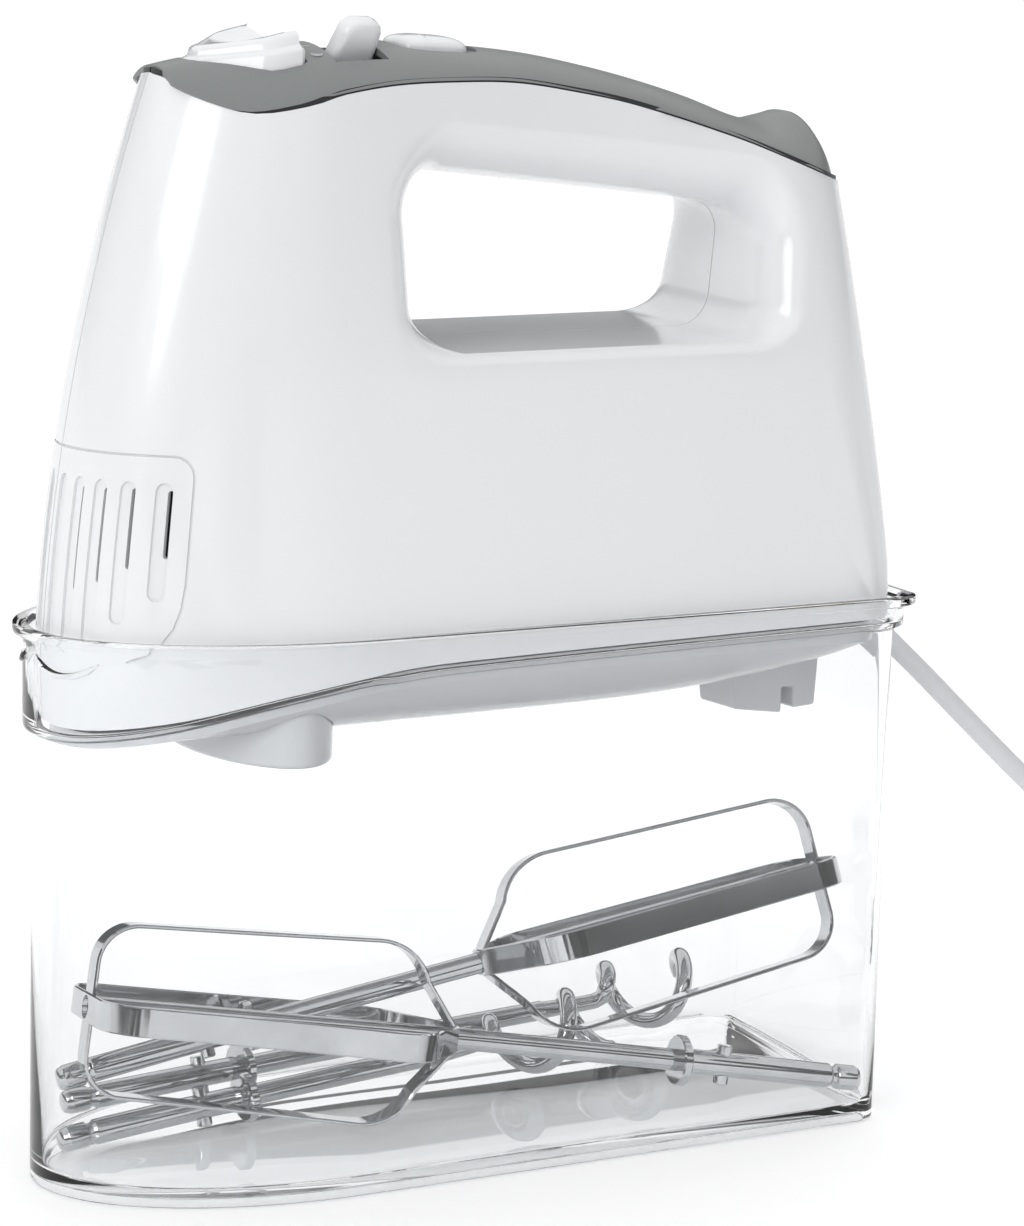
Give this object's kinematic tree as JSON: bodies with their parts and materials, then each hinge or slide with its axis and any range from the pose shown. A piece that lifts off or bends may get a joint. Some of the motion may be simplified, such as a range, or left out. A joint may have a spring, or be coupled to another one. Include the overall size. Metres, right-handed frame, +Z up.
{
  "type": "hand mixer",
  "caption": "Electric hand mixer standing in its clear storage case, with wire beaters and dough hooks stored below it.",
  "frame": {"origin": "middle of the storage case's footprint, on the surface it stands on", "axes": "-X towards the nose of the mixer, +X towards the cord, -Y the near side, +Z up"},
  "size_m": [0.3459, 0.129, 0.2534],
  "materials": {
    "white_gloss_plastic": "gloss white moulded ABS",
    "grey_satin_plastic": "satin mid grey",
    "pale_grey_plastic": "satin pale grey",
    "clear_plastic": "clear moulded polystyrene",
    "chrome": "bright chrome plating",
    "machined_steel": "machined",
    "lamination_steel": "stacked laminations",
    "enamelled_copper": "enamelled copper winding",
    "brass": "machined",
    "nylon": "natural nylon",
    "black_plastic": "moulded",
    "circuit_board": "board with solder resist",
    "carbon": "pressed carbon",
    "cord_pvc": "white PVC sheath"
  },
  "bodies": {
    "storage_case": {"storage_case": "clear_plastic", "beater_1_rod": "chrome", "beater_1_collar": "chrome", "beater_1_cage": "chrome", "beater_2_rod": "chrome", "beater_2_collar": "chrome", "beater_2_cage": "chrome", "dough_hook_1": "chrome", "dough_hook_1_collar": "chrome", "dough_hook_2": "chrome", "dough_hook_2_collar": "chrome"},
    "mixer_housing": {"housing_left": "white_gloss_plastic", "housing_right": "white_gloss_plastic", "top_cover": "grey_satin_plastic", "lower_cover": "pale_grey_plastic", "socket_boss": "pale_grey_plastic", "rear_foot": "pale_grey_plastic", "hull_screw_1": "machined_steel", "hull_screw_2": "machined_steel", "hull_screw_3": "machined_steel", "strain_relief": "pale_grey_plastic", "power_cord": "cord_pvc", "cord_tail": "cord_pvc", "cord_coil": "cord_pvc", "cord_tie": "black_plastic", "plug_body": "cord_pvc", "plug_pin_left": "brass", "plug_pin_right": "brass", "stator_core": "lamination_steel", "field_coil_upper": "enamelled_copper", "field_coil_lower": "enamelled_copper", "brush_holder_left": "brass", "brush_left": "carbon", "brush_holder_right": "brass", "brush_right": "carbon", "front_bearing": "brass", "rear_bearing": "brass", "motor_chassis": "nylon", "gearbox_plate": "machined_steel", "eject_spring": "machined_steel", "eject_guide": "nylon", "speed_switch": "black_plastic", "turbo_microswitch": "black_plastic", "circuit_board": "circuit_board", "capacitor": "brass"},
    "armature": {"armature_shaft": "machined_steel", "armature_core": "lamination_steel", "armature_winding": "enamelled_copper", "commutator": "brass", "worm": "machined_steel", "cooling_fan": "black_plastic"},
    "gear_left": {"drive_gear_left": "nylon", "spindle_left": "machined_steel"},
    "gear_right": {"drive_gear_right": "nylon", "spindle_right": "machined_steel"},
    "eject": {"eject_button": "white_gloss_plastic", "ejector_fork": "nylon"},
    "speed_lever": {"speed_lever": "white_gloss_plastic"},
    "turbo_button": {"turbo_button": "white_gloss_plastic"}
  },
  "joints": [
    {"name": "mixer_lift", "type": "slide", "parent": "storage_case", "child": "mixer_housing", "axis": [0, 0, 1], "range_m": [0, 0.13]},
    {"name": "armature_spin", "type": "hinge", "parent": "mixer_housing", "child": "armature", "pos_m": [-0.0495, 0, 0.134], "axis": [1, 0, 0], "continuous": true},
    {"name": "left_spindle_spin", "type": "hinge", "parent": "mixer_housing", "child": "gear_left", "pos_m": [-0.0495, -0.0169, 0.134], "axis": [0, 0, 1], "continuous": true},
    {"name": "right_spindle_spin", "type": "hinge", "parent": "mixer_housing", "child": "gear_right", "pos_m": [-0.0495, 0.0169, 0.134], "axis": [0, 0, 1], "continuous": true},
    {"name": "eject_press", "type": "slide", "parent": "mixer_housing", "child": "eject", "axis": [0, 0, -1], "range_m": [0, 0.006], "stiffness_N_per_m": 1500, "springref_m": -0.002, "deforming": ["eject_spring"]},
    {"name": "speed_select", "type": "hinge", "parent": "mixer_housing", "child": "speed_lever", "pos_m": [-0.032, 0, 0.225], "axis": [-1, 0, 0], "range_deg": [0, 40]},
    {"name": "turbo_press", "type": "slide", "parent": "mixer_housing", "child": "turbo_button", "axis": [0, 0, -1], "range_m": [0, 0.0025], "stiffness_N_per_m": 900, "springref_m": -0.001}
  ],
  "couplings": [
    {"joint": "left_spindle_spin", "follows": "armature_spin", "ratio": 0.125},
    {"joint": "right_spindle_spin", "follows": "armature_spin", "ratio": -0.125}
  ]
}
